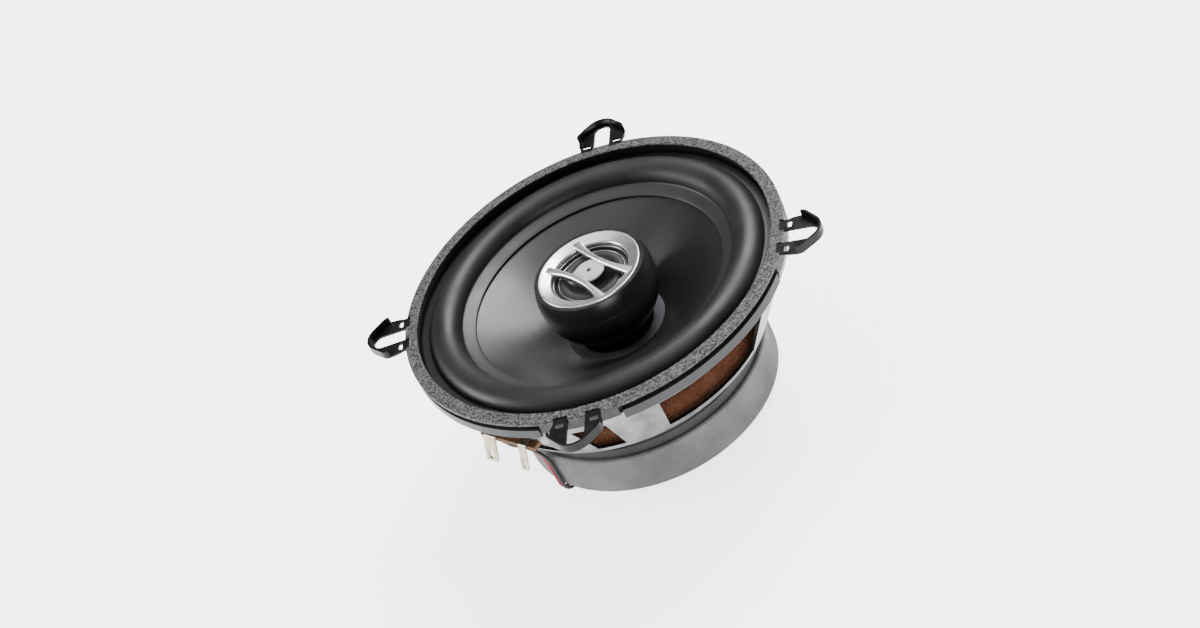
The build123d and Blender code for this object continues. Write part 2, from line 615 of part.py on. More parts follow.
# the spider: a flat outer land, waves in between, a flat inner land on the former
WAVES_INNER = FORMER_OUTER + SPIDER_INNER_LAND
wave_width = (SPIDER_LAND_INNER - WAVES_INNER) / SPIDER_HALF_WAVES
with BuildPart() as spider:
    with BuildSketch(Plane.XZ):
        with BuildLine():
            Line((FORMER_OUTER, SPIDER_Z), (WAVES_INNER, SPIDER_Z))
            for wave in range(SPIDER_HALF_WAVES):
                wave_start = WAVES_INNER + wave * wave_width
                wave_top = SPIDER_Z + SPIDER_WAVE_HEIGHT * (-1) ** wave
                ThreePointArc(
                    (wave_start, SPIDER_Z),
                    (wave_start + wave_width / 2, wave_top),
                    (wave_start + wave_width, SPIDER_Z),
                )
            Line((SPIDER_LAND_INNER, SPIDER_Z), (SPIDER_OUTER - SPIDER_EDGE_GAP, SPIDER_Z))
            offset(amount=SPIDER_SHEET, side=Side.LEFT)
        make_face()
    revolve(axis=Axis.Z)
save(spider.part, "spider")

# ---------------------------------------------------------------- tweeter
# a hollow post stands on the pole; its stem is held in the yoke's bore
with BuildPart() as tweeter_post:
    with BuildSketch(Plane.XY.offset(POLE_TOP_Z)):
        Circle(POST_RADIUS)
    extrude(amount=HOUSING_Z - POLE_TOP_Z)
    with BuildSketch(Plane.XY.offset(POLE_TOP_Z - STEM_DROP)):
        Circle(YOKE_BORE_RADIUS)
    extrude(amount=STEM_DROP)
    Hole(POST_BORE_RADIUS)
save(tweeter_post.part, "tweeter_post")

SOCKET_RADIUS = BEZEL_RADIUS + SOCKET_CLEARANCE
BELLY_Z = HOUSING_Z + HOUSING_BELLY
STEP_INNER = SOCKET_RADIUS - STEP_WIDTH
swell_radius = HOUSING_FOOT_RADIUS + HOUSING_FOOT_SWELL * (HOUSING_RADIUS - HOUSING_FOOT_RADIUS)
with BuildPart() as tweeter_housing:
    with BuildSketch(Plane.XZ):
        with BuildLine():
            Line((POST_BORE_RADIUS, HOUSING_Z), (HOUSING_FOOT_RADIUS, HOUSING_Z))
            ThreePointArc(
                (HOUSING_FOOT_RADIUS, HOUSING_Z),
                (swell_radius, HOUSING_Z + HOUSING_FOOT_RISE),
                (HOUSING_RADIUS, BELLY_Z),
            )
            ThreePointArc(
                (HOUSING_RADIUS, BELLY_Z),
                (HOUSING_RADIUS - HOUSING_RIM_SWELL, (BELLY_Z + HOUSING_TOP_Z) / 2 + HOUSING_RIM_RISE),
                (HOUSING_RIM_RADIUS, HOUSING_TOP_Z),
            )
            Polyline(
                (HOUSING_RIM_RADIUS, HOUSING_TOP_Z),
                (SOCKET_RADIUS, HOUSING_TOP_Z),
                (SOCKET_RADIUS, CHASSIS_Z),
                (STEP_INNER, CHASSIS_Z),
                (STEP_INNER - HOUSING_TAPER, HOUSING_FLOOR_Z + HOUSING_TAPER_RISE),
                (HOUSING_FOOT_RADIUS - HOUSING_CAVITY_INSET, HOUSING_FLOOR_Z),
                (POST_BORE_RADIUS, HOUSING_FLOOR_Z),
                (POST_BORE_RADIUS, HOUSING_Z),
            )
        make_face()
    revolve(axis=Axis.Z)
save(tweeter_housing.part, "tweeter_housing")

with BuildPart() as tweeter_chassis:
    with BuildSketch(Plane.XY.offset(CHASSIS_Z)):
        Circle(BEZEL_RADIUS)
        Circle(TWEETER_YOKE_RADIUS, mode=Mode.SUBTRACT)
    extrude(amount=CHASSIS_HEIGHT)
save(tweeter_chassis.part, "tweeter_chassis")

with BuildPart() as tweeter_yoke:
    with BuildSketch(Plane.XY.offset(TWEETER_YOKE_Z)):
        Circle(TWEETER_YOKE_RADIUS)
    extrude(amount=TWEETER_YOKE_HEIGHT)
    with BuildSketch(Plane.XY.offset(TWEETER_MAGNET_Z)):
        Circle(TWEETER_YOKE_BORE)
    extrude(amount=TWEETER_YOKE_HEIGHT, mode=Mode.SUBTRACT)
save(tweeter_yoke.part, "tweeter_yoke")

with BuildPart() as tweeter_magnet:
    with BuildSketch(Plane.XY.offset(TWEETER_MAGNET_Z)):
        Circle(TWEETER_PLATE_RADIUS - TWEETER_MAGNET_INSET)
    extrude(amount=TWEETER_MAGNET_HEIGHT)
save(tweeter_magnet.part, "tweeter_magnet")

with BuildPart() as tweeter_plate:
    with BuildSketch(Plane.XY.offset(TWEETER_PLATE_Z)):
        Circle(TWEETER_PLATE_RADIUS)
    extrude(amount=TWEETER_PLATE_HEIGHT)
save(tweeter_plate.part, "tweeter_plate")

DOME_Z = CHASSIS_TOP_Z
with BuildPart() as tweeter_coil:
    with BuildSketch(Plane.XY.offset(DOME_Z - TWEETER_COIL_HEIGHT)):
        Circle(TWEETER_DOME_RADIUS)
        Circle(TWEETER_COIL_RADIUS, mode=Mode.SUBTRACT)
    extrude(amount=TWEETER_COIL_HEIGHT)
save(tweeter_coil.part, "tweeter_coil")

# an inverted dome: a shallow dish with its hollow towards the front
DISH_TOP_Z = DOME_Z + TWEETER_DOME_SHEET
with BuildPart() as tweeter_dome:
    with BuildSketch(Plane.XZ):
        with BuildLine():
            ThreePointArc(
                (-TWEETER_COIL_RADIUS, DOME_Z),
                (0, DOME_Z - TWEETER_DOME_DEPTH),
                (TWEETER_COIL_RADIUS, DOME_Z),
            )
            Polyline(
                (TWEETER_COIL_RADIUS, DOME_Z),
                (TWEETER_DOME_RADIUS, DOME_Z),
                (TWEETER_DOME_RADIUS, DISH_TOP_Z),
            )
            ThreePointArc(
                (TWEETER_DOME_RADIUS, DISH_TOP_Z),
                (0, DISH_TOP_Z - TWEETER_DOME_DEPTH),
                (-TWEETER_DOME_RADIUS, DISH_TOP_Z),
            )
            Polyline(
                (-TWEETER_DOME_RADIUS, DISH_TOP_Z),
                (-TWEETER_DOME_RADIUS, DOME_Z),
                (-TWEETER_COIL_RADIUS, DOME_Z),
            )
        make_face()
        split(bisect_by=Plane.YZ, keep=Keep.TOP)
    revolve(axis=Axis.Z)
save(tweeter_dome.part, "tweeter_dome")

EDGE_ROLL_OUTER = TWEETER_YOKE_RADIUS + TWEETER_EDGE_LAND
EDGE_ROLL_INNER = TWEETER_DOME_RADIUS + TWEETER_EDGE_LIP
with BuildPart() as tweeter_edge:
    with BuildSketch(Plane.XZ):
        with BuildLine():
            Line((TWEETER_EDGE_RADIUS, DOME_Z), (EDGE_ROLL_OUTER, DOME_Z))
            ThreePointArc(
                (EDGE_ROLL_OUTER, DOME_Z),
                ((EDGE_ROLL_OUTER + EDGE_ROLL_INNER) / 2, DOME_Z + TWEETER_EDGE_ROLL),
                (EDGE_ROLL_INNER, DOME_Z),
            )
            Line((EDGE_ROLL_INNER, DOME_Z), (TWEETER_DOME_RADIUS, DOME_Z))
            offset(amount=TWEETER_EDGE_SHEET, side=Side.RIGHT)
        make_face()
    revolve(axis=Axis.Z)
save(tweeter_edge.part, "tweeter_edge")

# bezel: a dished ring with two bars bowed towards the middle
BAR_REACH = BEZEL_RADIUS - BAR_END_INSET
BAR_HALF_LENGTH = (BAR_REACH**2 - BAR_OFFSET**2) ** 0.5
with BuildPart() as tweeter_bezel:
    with BuildSketch(Plane.XZ):
        with BuildLine():
            Polyline(
                (BEZEL_OPENING_RADIUS, BEZEL_Z - BEZEL_DISH),
                (BEZEL_RADIUS, BEZEL_Z),
                (BEZEL_RADIUS, CHASSIS_TOP_Z),
                (TWEETER_EDGE_RADIUS + TWEETER_EDGE_LIP, CHASSIS_TOP_Z),
                (TWEETER_EDGE_RADIUS + TWEETER_EDGE_LIP, BEZEL_FOOT_Z),
                (BEZEL_OPENING_RADIUS, BEZEL_FOOT_Z + BEZEL_FOOT_BEVEL),
                close=True,
            )
        make_face()
    revolve(axis=Axis.Z)
    for side in (0, 180):
        with BuildSketch(level_plane(BAR_ANGLE + side, BAR_Z)):
            with BuildLine():
                ThreePointArc(
                    (-BAR_HALF_LENGTH, BAR_OFFSET),
                    (0, BAR_OFFSET - BAR_BOW),
                    (BAR_HALF_LENGTH, BAR_OFFSET),
                )
                offset(amount=BAR_WIDTH / 2, side=Side.BOTH)
            make_face()
        extrude(amount=BAR_HEIGHT)
save(tweeter_bezel.part, "tweeter_bezel")

with BuildPart() as tweeter_diffuser:
    with BuildSketch(Plane.XY.offset(BAR_Z - DIFFUSER_HEIGHT)):
        Circle(DIFFUSER_RADIUS)
        Circle(DIFFUSER_DIMPLE_RADIUS, mode=Mode.SUBTRACT)
    extrude(amount=DIFFUSER_HEIGHT)
save(tweeter_diffuser.part, "tweeter_diffuser")

# the tweeter's series capacitor lies on the housing's floor beside the leads
CAPACITOR_Y = POST_BORE_RADIUS + CAPACITOR_RADIUS + CAPACITOR_CLEARANCE
with BuildPart() as crossover_capacitor:
    with BuildSketch(Plane.YZ.offset(-CAPACITOR_LENGTH / 2)):
        with Locations((CAPACITOR_Y, HOUSING_FLOOR_Z + CAPACITOR_RADIUS)):
            Circle(CAPACITOR_RADIUS)
    extrude(amount=CAPACITOR_LENGTH)
    fillet(crossover_capacitor.edges().filter_by(GeomType.CIRCLE), CAPACITOR_ROUND)
save(crossover_capacitor.part, "crossover_capacitor")

# ---------------------------------------------------------------- terminals
with BuildPart() as terminal_board:
    with BuildSketch(level_plane(TERMINAL_ANGLE, BOARD_Z)):
        with Locations(((BOARD_INNER_RADIUS + BOARD_OUTER_RADIUS) / 2, 0)):
            Rectangle(BOARD_LENGTH, BOARD_WIDTH)
        with Locations(*[(BOARD_INNER_RADIUS + RIVET_HEAD_RADIUS, y) for y in RIVET_OFFSETS]):
            Circle(RIVET_RADIUS, mode=Mode.SUBTRACT)
    extrude(amount=BOARD_SHEET)
save(terminal_board.part, "terminal_board")

with BuildPart() as board_rivets:
    rivet_spots = [(BOARD_INNER_RADIUS + RIVET_HEAD_RADIUS, y) for y in RIVET_OFFSETS]
    with BuildSketch(level_plane(TERMINAL_ANGLE, BOARD_Z - SHEET - RIVET_HEAD_HEIGHT)):
        with Locations(*rivet_spots):
            Circle(RIVET_HEAD_RADIUS)
    extrude(amount=RIVET_HEAD_HEIGHT)
    with BuildSketch(level_plane(TERMINAL_ANGLE, BOARD_Z - SHEET)):
        with Locations(*rivet_spots):
            Circle(RIVET_RADIUS)
    extrude(amount=SHEET + BOARD_SHEET)
    with BuildSketch(level_plane(TERMINAL_ANGLE, BOARD_TOP_Z)):
        with Locations(*rivet_spots):
            Circle(RIVET_HEAD_RADIUS)
    extrude(amount=RIVET_HEAD_HEIGHT)
save(board_rivets.part, "board_rivets")

# spade terminals: a foot on the board, a bend over its edge and a slotted blade that hangs outwards
blade_run = BLADE_LENGTH + BOARD_SHEET
blade_step = (sin(radians(BLADE_TILT)), -cos(radians(BLADE_TILT)))
blade_sides = {
    "positive": (-BLADE_PITCH / 2, POSITIVE_BLADE_WIDTH),
    "negative": (BLADE_PITCH / 2, NEGATIVE_BLADE_WIDTH),
}
bend_x = BOARD_OUTER_RADIUS + BLADE_BEND_OUT
slot_x = bend_x + BLADE_SLOT_MIDDLE * blade_run * blade_step[0]
slot_z = BOARD_TOP_Z + BLADE_SLOT_MIDDLE * blade_run * blade_step[1]
for polarity, (blade_y, blade_width) in blade_sides.items():
    side_plane = radial_plane(TERMINAL_ANGLE).offset(-blade_y)
    with BuildPart() as terminal:
        with BuildSketch(side_plane):
            with BuildLine():
                FilletPolyline(
                    (BOARD_OUTER_RADIUS - BLADE_FOOT, BOARD_TOP_Z),
                    (bend_x, BOARD_TOP_Z),
                    (bend_x + blade_run * blade_step[0], BOARD_TOP_Z + blade_run * blade_step[1]),
                    radius=BLADE_BEND_RADIUS,
                )
                offset(amount=BLADE_SHEET, side=Side.LEFT)
            make_face()
        extrude(amount=blade_width / 2, both=True)
        slot_plane = Plane(
            origin=side_plane.from_local_coords((slot_x, slot_z, 0)),
            x_dir=side_plane.z_dir,
            z_dir=side_plane.y_dir * blade_step[0] - side_plane.x_dir * blade_step[1],
        )
        with BuildSketch(slot_plane):
            SlotOverall(BLADE_SLOT_LENGTH, blade_width * BLADE_SLOT_SHARE, rotation=90)
        extrude(amount=3 * BLADE_SHEET, both=True, mode=Mode.SUBTRACT)
    save(terminal.part, f"{polarity}_terminal")

# ---------------------------------------------------------------- leads
# tweeter leads: from under the board, down the outside of the magnet, along the channel in the
# back plate and up the hollow post to the tweeter
side_radius = MAGNET_RADIUS + LEAD_RADIUS + LEAD_CLEARANCE
floor_height = LEAD_RADIUS + LEAD_CLEARANCE
for colour, lead_side in {"red": -1, "black": 1}.items():
    lead_y = lead_side * LEAD_PITCH / 2
    local_route = [
        (BOARD_OUTER_RADIUS - 2.4, BOARD_Z - 0.1),
        (BOARD_OUTER_RADIUS - 3.2, SHOULDER_Z + 5.9),
        (SHOULDER_RADIUS - 0.4, SHOULDER_Z - 1.6),
        (side_radius, TOP_PLATE_Z - 1.0),
        (side_radius, floor_height),
        (side_radius - MAGNET_Z * 2, floor_height + 0.1),
        (lead_y + 4.2, floor_height),
        (lead_y, floor_height + 4.2),
        (lead_y + 0.1, POLE_TOP_Z),
        (lead_y, TWEETER_YOKE_Z),
    ]
    lead_plane = radial_plane(LEAD_ANGLE)
    lead_points = [lead_plane.from_local_coords((x, z, -lead_y)) for x, z in local_route]
    with BuildPart() as tweeter_lead:
        with BuildLine() as lead_path:
            FilletPolyline(*lead_points, radius=bend_radii([tuple(point) for point in lead_points]))
        route = lead_path.wires()[0]
        with BuildSketch(Plane(origin=route @ 0, z_dir=route % 0)):
            Circle(LEAD_RADIUS)
        sweep()
    full_volume = pi * LEAD_RADIUS**2 * route.length
    print(colour, "tweeter lead", round(route.length, 1), "mm long, volume over section x length",
          round(tweeter_lead.part.volume / full_volume, 3))
    save(tweeter_lead.part, f"tweeter_lead_{colour}")

# tinsel leads: from the board's inner end to the back of the cone
for polarity, tinsel_side in {"positive": -1, "negative": 1}.items():
    tinsel_y = tinsel_side * TINSEL_PITCH / 2
    cone_back_z = cone_height(TINSEL_CONE_RADIUS) - 2 * CONE_SHEET - TINSEL_RADIUS
    local_route = [
        (BOARD_INNER_RADIUS + 0.9, BOARD_TOP_Z + TINSEL_RADIUS),
        (BOARD_INNER_RADIUS - 4.0, BOARD_TOP_Z + TINSEL_RADIUS - 0.4),
        (BOARD_INNER_RADIUS - 9.0, BOARD_Z - 4.5),
        (BOARD_INNER_RADIUS - 14.5, BOARD_Z - 4.0),
        (TINSEL_CONE_RADIUS, cone_back_z),
    ]
    tinsel_plane = radial_plane(TERMINAL_ANGLE)
    tinsel_points = [tinsel_plane.from_local_coords((x, z, -tinsel_y)) for x, z in local_route]
    with BuildPart() as tinsel_lead:
        with BuildLine() as tinsel_path:
            FilletPolyline(*tinsel_points, radius=bend_radii([tuple(point) for point in tinsel_points]))
        route = tinsel_path.wires()[0]
        with BuildSketch(Plane(origin=route @ 0, z_dir=route % 0)):
            Circle(TINSEL_RADIUS)
        sweep()
    full_volume = pi * TINSEL_RADIUS**2 * route.length
    print(polarity, "tinsel lead", round(route.length, 1), "mm long, volume over section x length",
          round(tinsel_lead.part.volume / full_volume, 3))
    save(tinsel_lead.part, f"tinsel_lead_{polarity}")
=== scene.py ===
"""Two-way coaxial car loudspeaker lying on its back plate: its finished looks.

Lengths in the shape functions are millimetres in the row frame and become metres in mesh().
"""
import bmesh
import bpy
import numpy as np
from mathutils import Matrix, Vector


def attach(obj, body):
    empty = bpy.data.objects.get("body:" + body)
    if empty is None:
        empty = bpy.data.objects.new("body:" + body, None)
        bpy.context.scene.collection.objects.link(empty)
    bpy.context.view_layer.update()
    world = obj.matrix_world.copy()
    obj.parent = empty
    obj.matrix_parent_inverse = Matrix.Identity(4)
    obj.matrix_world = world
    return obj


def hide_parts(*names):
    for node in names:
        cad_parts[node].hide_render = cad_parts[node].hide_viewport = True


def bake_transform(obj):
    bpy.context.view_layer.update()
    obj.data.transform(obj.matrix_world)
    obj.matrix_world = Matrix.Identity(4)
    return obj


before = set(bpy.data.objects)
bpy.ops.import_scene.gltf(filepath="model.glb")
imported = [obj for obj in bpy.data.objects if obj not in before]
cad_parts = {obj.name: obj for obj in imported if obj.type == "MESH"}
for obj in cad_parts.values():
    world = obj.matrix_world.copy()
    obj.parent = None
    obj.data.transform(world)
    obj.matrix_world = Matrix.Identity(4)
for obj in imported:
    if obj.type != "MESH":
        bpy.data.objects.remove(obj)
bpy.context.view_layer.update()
MM = 0.001

# ------------------------------------------------------------------ camera
# the view in degrees, and the middle of the front ring in the camera's own axes, in metres
ELEVATION = np.radians(38.22)
ROLL = np.radians(28.04)
TURN = np.radians(21.7)
RING_IN_VIEW = np.array([-3.46, 13.87, -600.0]) * MM
RING_TOP = np.array([0.0, 0.0, 60.1]) * MM
LENS = 56.3
SENSOR_WIDTH = 36
CLIP = (0.01, 20)

level = np.array([[1, 0, 0],
                  [0, np.sin(ELEVATION), np.cos(ELEVATION)],
                  [0, -np.cos(ELEVATION), np.sin(ELEVATION)]])
rolled = np.array([[np.cos(ROLL), -np.sin(ROLL), 0], [np.sin(ROLL), np.cos(ROLL), 0], [0, 0, 1]])
turned = np.array([[np.cos(TURN), -np.sin(TURN), 0], [np.sin(TURN), np.cos(TURN), 0], [0, 0, 1]])
view_axes = turned @ (rolled @ level).T
view_place = RING_TOP - view_axes @ RING_IN_VIEW

camera_data = bpy.data.cameras.new("camera")
camera_data.lens = LENS
camera_data.sensor_width = SENSOR_WIDTH
camera_data.clip_start, camera_data.clip_end = CLIP
camera = bpy.data.objects.new("camera", camera_data)
bpy.context.scene.collection.objects.link(camera)
camera.matrix_world = Matrix.Translation(Vector(view_place)) @ Matrix(view_axes.tolist()).to_4x4()
bpy.context.scene.camera = camera


# ------------------------------------------------------------------ materials
def linear(hex_colour):
    """sRGB hex string to linear red, green, blue and alpha."""
    values = [int(hex_colour[i:i + 2], 16) / 255 for i in (0, 2, 4)]
    return tuple(v / 12.92 if v <= 0.04045 else ((v + 0.055) / 1.055) ** 2.4 for v in values) + (1,)


def add(tree, kind, settings=None, **links):
    """Adds a node, sets its properties and input values, and links inputs to other nodes' outputs.

    A key such as i6 is the input of that index, and any other key is an input's or a property's name.
    A colour mix has its two colours at inputs 6 and 7, and its result at output 2.
    """
    node = tree.nodes.new(kind)
    for name, value in (settings or {}).items():
        numbered = name[0] == "i" and name[1:].isdigit()
        if numbered:
            node.inputs[int(name[1:])].default_value = value
        elif name in node.inputs:
            node.inputs[name].default_value = value
        else:
            setattr(node, name, value)
    for name, source in links.items():
        numbered = name[0] == "i" and name[1:].isdigit()
        target = node.inputs[int(name[1:])] if numbered else node.inputs[name.replace("_", " ")]
        tree.links.new(source, target)
    return node


# the part of a noise's range that holds nearly all of its values
NOISE_LOW, NOISE_HIGH = 0.33, 0.67
SMOOTHEST, ROUGHEST = 0.02, 1.0


def finish_material(name, colour, second, roughness, spread=0.08, metallic=0.0, grain_mm=2.0, detail=4.0,
                    bump_mm=0.0, bump_grain_mm=0.4, stretch=(1, 1, 1), **shader):
    """A Principled material whose colour drifts between two tones, and whose roughness and bump are noise.

    grain_mm is the size of the colour patches and bump_grain_mm that of the surface grain.
    """
    material = bpy.data.materials.new(name)
    material.use_nodes = True
    tree = material.node_tree
    principled = tree.nodes["Principled BSDF"]
    place = add(tree, "ShaderNodeTexCoord").outputs["Object"]
    placed = add(tree, "ShaderNodeMapping", {"Scale": stretch}, Vector=place).outputs["Vector"]
    patches = add(tree, "ShaderNodeTexNoise", {"Scale": 1 / (grain_mm * MM * 2), "Detail": detail},
                  Vector=placed)
    share = add(tree, "ShaderNodeMapRange", {"From Min": NOISE_LOW, "From Max": NOISE_HIGH},
                Value=patches.outputs["Fac"])
    tones = add(tree, "ShaderNodeMix", {"data_type": "RGBA", "i6": linear(colour), "i7": linear(second)},
                Factor=share.outputs["Result"])
    tree.links.new(tones.outputs[2], principled.inputs["Base Color"])
    rough = add(tree, "ShaderNodeMapRange", {"To Min": max(SMOOTHEST, roughness - spread),
                                             "To Max": min(ROUGHEST, roughness + spread)},
                Value=share.outputs["Result"])
    tree.links.new(rough.outputs["Result"], principled.inputs["Roughness"])
    principled.inputs["Metallic"].default_value = metallic
    for socket, value in shader.items():
        principled.inputs[socket.replace("_", " ")].default_value = value
    if bump_mm:
        grain = add(tree, "ShaderNodeTexNoise", {"Scale": 1 / (bump_grain_mm * MM * 2), "Detail": 3.0},
                    Vector=placed)
        bump = add(tree, "ShaderNodeBump", {"Strength": 1.0, "Distance": bump_mm * MM},
                   Height=grain.outputs["Fac"])
        tree.links.new(bump.outputs["Normal"], principled.inputs["Normal"])
    return material


# basket: bright zinc, a blurred mirror with soft streaks from the press
zinc_steel = finish_material("zinc plated steel", "9c9da0", "707174", 0.24, 0.08, 1.0, 3.0,
                             bump_mm=0.02, bump_grain_mm=5.0, stretch=(1, 1, 0.3))
# rivets and pole plate: fine bright steel
plain_steel = finish_material("plain turned steel", "b2b2b4", "8c8c90", 0.3, 0.08, 1.0, 1.0)
# magnet: chalky grey with darker mottles and fine pits
ferrite = finish_material("sintered ferrite", "6e6f70", "535455", 0.6, 0.12, 0.0, 9.0, 8.0,
                          bump_mm=0.12, bump_grain_mm=0.7)
# plates: dull black that sets off the grey magnet
black_steel = finish_material("black passivated steel", "19191b", "101011", 0.5, 0.08, 0.0, 4.0,
                              bump_mm=0.02, bump_grain_mm=0.6)
# loops: near black and glossy, with orange peel
powder_coat = finish_material("black powder coat", "080809", "0e0e0f", 0.26, 0.05, 0.0, 2.0,
                              bump_mm=0.03, bump_grain_mm=0.9, Specular_IOR_Level=0.3)
# ring: moulded in a coarse spark-eroded tool, so it is all small grains. Its colour comes further down
granular_plastic = finish_material("grained moulded polymer", "3a3b3d", "77787b", 0.5, 0.15, 0.0, 0.42, 2.0)
# rim trim: even satin grey with a soft highlight along its edge
trim_plastic = finish_material("satin grey polymer", "303234", "292b2d", 0.33, 0.06, 0.0, 5.0,
                               bump_mm=0.02, bump_grain_mm=0.5)
# cone: smooth black with broad, quiet highlights
cone_polymer = finish_material("injection moulded cone polymer", "111112", "161617", 0.36, 0.05, 0.0, 12.0,
                               bump_mm=0.02, bump_grain_mm=0.5)
# neck ring: a paler grey crescent round the post
neck_polymer = finish_material("grey neck polymer", "58595c", "4b4d50", 0.35, 0.05, 0.0, 3.0)
# surround: soft black, duller than the cone
butyl_rubber = finish_material("butyl rubber", "0f0f10", "141415", 0.46, 0.07, 0.0, 8.0,
                               bump_mm=0.015, bump_grain_mm=0.5, Specular_IOR_Level=0.4)
# the surround's glued lands: a little greyer, so that the roll stands out
land_rubber = finish_material("butyl rubber land", "1e1f20", "19191a", 0.45, 0.07, 0.0, 8.0)
# voice coil former: dull black inside the neck
polyimide_film = finish_material("black polyimide film", "0b0b0b", "101010", 0.5, 0.08, 0.0, 2.0)
# windings: fine bright turns that run round the former
copper = finish_material("enamelled copper wire", "a4552a", "8c4520", 0.3, 0.06, 1.0, 0.6, stretch=(1, 1, 6))
# post and liner: plain black that stays in the shade
black_plastic = finish_material("black moulded polymer", "101011", "151516", 0.45, 0.08, 0.0, 3.0,
                                bump_mm=0.02, bump_grain_mm=0.3)
# tweeter housing: satin black with one soft band of light
housing_plastic = finish_material("satin black housing polymer", "0e0e0f", "141415", 0.33, 0.05, 0.0, 5.0,
                                  bump_mm=0.012, bump_grain_mm=0.35)
# bezel: satin silver over polymer, smooth and bright
satin_silver = finish_material("satin silver plating", "e2e3e4", "d6d7d9", 0.3, 0.03, 1.0, 3.0)
# diffuser: flat pale grey
diffuser_plastic = finish_material("pale grey satin polymer", "b9babc", "adaeb0", 0.38, 0.05, 0.0, 2.0)
# tweeter magnet: bright warm plating
nickel = finish_material("nickel plating", "c8c6c0", "b8b6b0", 0.2, 0.04, 1.0, 2.0)
# dome: glossy smoked film
dome_film = finish_material("smoked polymer film", "17181a", "1e1f21", 0.22, 0.05, 0.0, 2.0)
# tweeter edge: black cloth with a fine dull grain
edge_cloth = finish_material("coated tweeter cloth", "101011", "19191a", 0.6, 0.08, 0.0, 0.5,
                             bump_mm=0.03, bump_grain_mm=0.25)
# capacitor: blue shrink sleeve
capacitor_film = finish_material("polyester sleeve", "1f3c78", "1a3266", 0.3, 0.05, 0.0, 2.0)
# terminal board: brown laminate with fibres that run across it
fibre_board = finish_material("resin bonded fibre board", "6e4a2b", "54361d", 0.55, 0.1, 0.0, 0.8,
                              bump_mm=0.06, bump_grain_mm=0.5, stretch=(1, 1, 5))
# board rivets: yellow metal
brass = finish_material("brass", "c9a75a", "b8954a", 0.3, 0.06, 1.0, 1.0)
# blades: pale, slightly yellow tin
tin_plate = finish_material("tin plated brass", "d9d3bd", "c7c0a6", 0.34, 0.08, 1.0, 1.5,
                            bump_mm=0.01, bump_grain_mm=0.4)
# tweeter leads: smooth red and dark grey plastic
red_sleeve = finish_material("red wire insulation", "a3202a", "8c1a23", 0.4, 0.06, 0.0, 2.0)
black_sleeve = finish_material("black wire insulation", "19191a", "232324", 0.42, 0.06, 0.0, 2.0)
# tinsel leads: woven copper with a coarse glitter
braid = finish_material("braided copper tinsel", "c08a5c", "8f5a34", 0.4, 0.1, 1.0, 0.3,
                        bump_mm=0.05, bump_grain_mm=0.3)

# the ring's moulded grain: each cell is one grain, painted light or dark: a painted glint on some grains and
# painted shade on others.
# Its inner wall is smooth and black, and its lugs are smooth and grey.
GRAIN = 0.44 * MM
GRAIN_FOOT = 58.95 * MM
INNER_WALL_TOP = 59.75 * MM
INNER_WALL_RADIUS = 62.0 * MM
grain_tree = granular_plastic.node_tree
grain_place = add(grain_tree, "ShaderNodeTexCoord").outputs["Object"]
grains = add(grain_tree, "ShaderNodeTexVoronoi", {"Scale": 1 / GRAIN}, Vector=grain_place)
grain_shade = add(grain_tree, "ShaderNodeSeparateColor", Color=grains.outputs["Color"])
grain_steps = add(grain_tree, "ShaderNodeMapRange", {"From Min": 0.3, "From Max": 0.8},
                  Value=grain_shade.outputs["Red"])
# painted glints and painted shade: each grain's colour runs from near black to light grey
grain_glint_and_shade = add(grain_tree, "ShaderNodeMix",
                   {"data_type": "RGBA", "i6": linear("0c0c0d"), "i7": linear("5e5f61")},
                   Factor=grain_steps.outputs["Result"])

grain_axes = add(grain_tree, "ShaderNodeSeparateXYZ", Vector=grain_place)
grain_flat = add(grain_tree, "ShaderNodeCombineXYZ", X=grain_axes.outputs["X"], Y=grain_axes.outputs["Y"])
grain_radius = add(grain_tree, "ShaderNodeVectorMath", {"operation": "LENGTH"}, i0=grain_flat.outputs[0])
is_lug = add(grain_tree, "ShaderNodeMath", {"operation": "LESS_THAN", "i1": GRAIN_FOOT},
             i0=grain_axes.outputs["Z"]).outputs[0]
is_low = add(grain_tree, "ShaderNodeMath", {"operation": "LESS_THAN", "i1": INNER_WALL_TOP},
             i0=grain_axes.outputs["Z"]).outputs[0]
is_near = add(grain_tree, "ShaderNodeMath", {"operation": "LESS_THAN", "i1": INNER_WALL_RADIUS},
              i0=grain_radius.outputs["Value"]).outputs[0]
is_inside = add(grain_tree, "ShaderNodeMath", {"operation": "MULTIPLY"}, i0=is_low, i1=is_near).outputs[0]
with_lugs = add(grain_tree, "ShaderNodeMix", {"data_type": "RGBA", "i7": linear("2c2e31")},
                Factor=is_lug, i6=grain_glint_and_shade.outputs[2])
with_wall = add(grain_tree, "ShaderNodeMix", {"data_type": "RGBA", "i7": linear("0a0a0b")},
                Factor=is_inside, i6=with_lugs.outputs[2])
grain_shader = grain_tree.nodes["Principled BSDF"]
grain_tree.links.new(with_wall.outputs[2], grain_shader.inputs["Base Color"])

is_smooth = add(grain_tree, "ShaderNodeMath", {"operation": "MAXIMUM"}, i0=is_lug, i1=is_inside)
grain_share = add(grain_tree, "ShaderNodeMath", {"operation": "SUBTRACT", "i0": 1.0}, i1=is_smooth.outputs[0])
grain_height = add(grain_tree, "ShaderNodeMath", {"operation": "MULTIPLY"}, i0=grain_shade.outputs["Green"],
                   i1=grain_share.outputs[0])
grain_bump = add(grain_tree, "ShaderNodeBump", {"Strength": 0.8, "Distance": 0.2 * MM},
                 Height=grain_height.outputs[0])
grain_tree.links.new(grain_bump.outputs["Normal"], grain_shader.inputs["Normal"])

# spider: orange brown cloth, a plain weave drawn coarse enough to show. Its two tones are painted light, much
# paler than the cloth, for the light that does not reach it inside the basket
THREAD = 0.6 * MM
